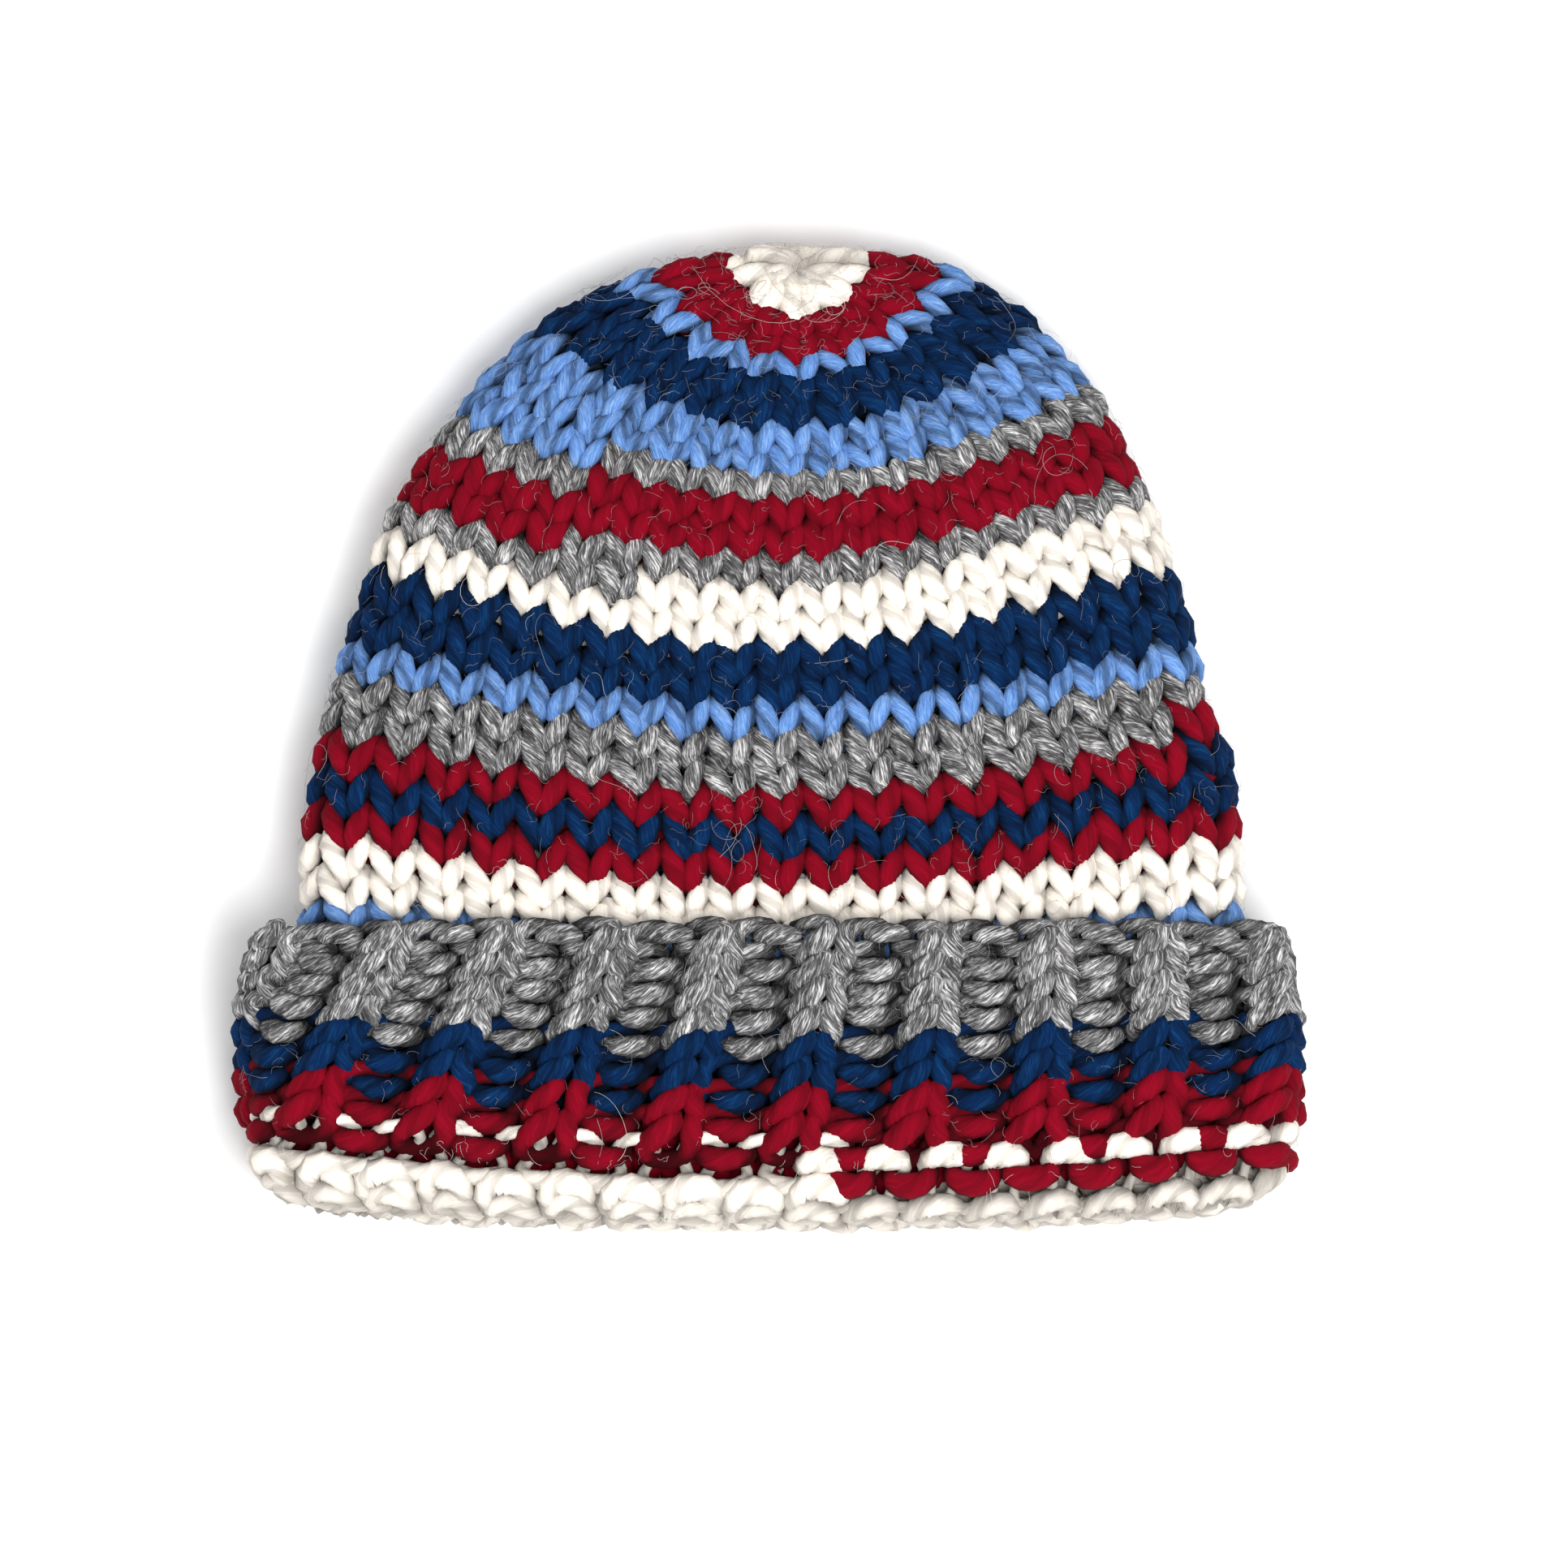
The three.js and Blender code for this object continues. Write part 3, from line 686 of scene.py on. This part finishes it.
# How far a fibre's heading swings in radians, and how many swings it makes.
SWING = 0.6
SWINGS = (0.7, 1.6)

# How much thinner a fibre is at its tip, as a share, and the least share of its full rise.
TAPER = 0.6
LEAST_RISE = 0.1

# The rows' height in mm, and how far the stitches' faces lie off the wall's middle.
ROW_PITCH = 6.2
CUFF_FACE = 4.2
BODY_FACE = 4.6


def loose_fibres(mesh, course, stitches, facing, surface, kind):
    """Fibres that stand out of one row: each turns its way evenly while it swings, rises off the surface as
    the root of its share along it, and narrows to its tip."""
    first, last = stitches
    count = max(1, round(kind["each"] * (last - first) / STITCHES))
    points = kind["points"]
    share = np.linspace(0, 1, points)
    length = rng.uniform(*kind["length"], (count, 1))
    heading = rng.uniform(0, TAU, (count, 1)) + rng.normal(0, kind["curl"] * TAU, (count, 1)) * share
    swing = rng.normal(0, SWING, (count, 1))
    heading = heading + swing * np.sin(share * TAU * rng.uniform(*SWINGS, (count, 1)))
    step = length / (points - 1)
    along = np.cumsum(step * np.cos(heading), axis=1)
    upward = np.cumsum(step * np.sin(heading), axis=1)
    turn = rng.uniform(first, last, (count, 1)) / STITCHES
    ring = np.linalg.norm(np.diff(MIDDLE[int((course - CAST_ON) / COURSE_STEP)], axis=0), axis=1).sum()
    up = np.minimum(course + rng.uniform(-0.5, 0.5, (count, 1)) + upward / ROW_PITCH, BODY_ROWS)
    rise = rng.uniform(LEAST_RISE, 1.0, (count, 1)) * kind["rise"] * np.sqrt(share)
    centre, normal = on_fabric(up, turn + along / ring, facing * (surface + rise))
    tangent = unit(np.gradient(centre, axis=1))
    side = unit(np.cross(tangent, normal))
    other = np.cross(tangent, side)
    angles = np.arange(FIBRE_SIDES) * TAU / FIBRE_SIDES
    thick = kind["radius"] * (1 - TAPER * share)[None, :, None, None]
    rings = centre[:, :, None] + thick * (np.cos(angles)[:, None] * side[:, :, None]
                                          + np.sin(angles)[:, None] * other[:, :, None])
    marks = np.zeros((*rings.shape[:3], 4))
    marks[..., 2] = rng.uniform(0, PATTERN_LENGTH, (count, 1, 1)) + (length * share)[..., None]
    marks[..., 3] = LOOSE
    mesh.add_many(rings, marks, centre[:, [0, -1]], marks[:, [0, -1], 0])


# No fibre starts on the courses below this one, which are the fold's lowest.
LAST_FIBRE_COURSE = FOLD_START + 0.5

for kind in (SHORT_FIBRES, LONG_FIBRES):
    for course, _, _, stripe, first, stitches in CUFF_COURSES:
        if course < LAST_FIBRE_COURSE:
            loose_fibres(meshes[stripe], course, (first, first + stitches), -1, CUFF_FACE, kind)
    for course, count, stretches in body_courses():
        part = STITCHES / count
        for first, stitches, stripe in stretches:
            span = (first * part, (first + stitches) * part)
            loose_fibres(meshes[stripe], course, span, 1, BODY_FACE, kind)

for stripe, mesh in meshes.items():
    yarn = yarn_of(stripe)
    piece = mesh.finish(f"{stripe}_stitches", YARNS[yarn])
    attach(piece, "root")
    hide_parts(stripe)


# The studio: how far the floor reaches, how white it is, how bright the even light from all sides is, and
# each lamp's place and size in metres and its power in watts. The lamps point at the origin.
FLOOR_REACH = 3.0
FLOOR_WHITE = 0.94
SURROUND = 0.56
LAMPS = (
    ("key", (0.25, -0.4, 1.3), 0.6, 19.0),
    ("top", (-0.3, 0.35, 1.5), 1.2, 4.0),
)


def studio():
    """A pale floor, a soft light from the brim's side and a wide one above."""
    floor_mesh = bpy.data.meshes.new("floor")
    reach = FLOOR_REACH
    corners = [(-reach, -reach, 0), (reach, -reach, 0), (reach, reach, 0), (-reach, reach, 0)]
    floor_mesh.from_pydata(corners, [], [(0, 1, 2, 3)])
    finish = Finish("floor_white")
    finish.feed(finish.shader.inputs["Base Color"], (FLOOR_WHITE, FLOOR_WHITE, FLOOR_WHITE, 1))
    finish.feed(finish.shader.inputs["Roughness"], 0.7)
    floor_mesh.materials.append(finish.material)
    floor = bpy.data.objects.new("floor", floor_mesh)
    bpy.context.scene.collection.objects.link(floor)

    world = bpy.data.worlds.new("studio")
    world.use_nodes = True
    background = world.node_tree.nodes["Background"]
    background.inputs["Color"].default_value = (1, 1, 1, 1)
    background.inputs["Strength"].default_value = SURROUND
    bpy.context.scene.world = world

    for name, place, size, power in LAMPS:
        lamp = bpy.data.lights.new(name, "AREA")
        lamp.shape = "SQUARE"
        lamp.size = size
        lamp.energy = power
        light = bpy.data.objects.new(name, lamp)
        light.location = place
        x, y, z = place
        light.rotation_euler = (math.atan2(math.hypot(x, y), z), 0, math.atan2(x, -y))
        bpy.context.scene.collection.objects.link(light)


# The photograph's view: how high it looks down from, the distance and the width of the view in metres, and
# the point that it looks at.
ELEVATION = math.radians(84)
DISTANCE = 2.0
VIEW_WIDTH = 0.367
TARGET = np.array((0.003, -0.0112, 0.03))
SENSOR_WIDTH = 36


def camera():
    """The photograph's view: from above, tipped a little towards the brim."""
    data = bpy.data.cameras.new("camera")
    data.sensor_width = SENSOR_WIDTH
    data.lens = DISTANCE * SENSOR_WIDTH / VIEW_WIDTH
    data.clip_start = 0.01
    view = bpy.data.objects.new("camera", data)
    view.location = TARGET + DISTANCE * np.array((0, -math.cos(ELEVATION), math.sin(ELEVATION)))
    view.rotation_euler = (math.pi / 2 - ELEVATION, 0, 0)
    bpy.context.scene.collection.objects.link(view)
    bpy.context.scene.camera = view


studio()
camera()
bpy.context.scene.view_settings.view_transform = "Standard"
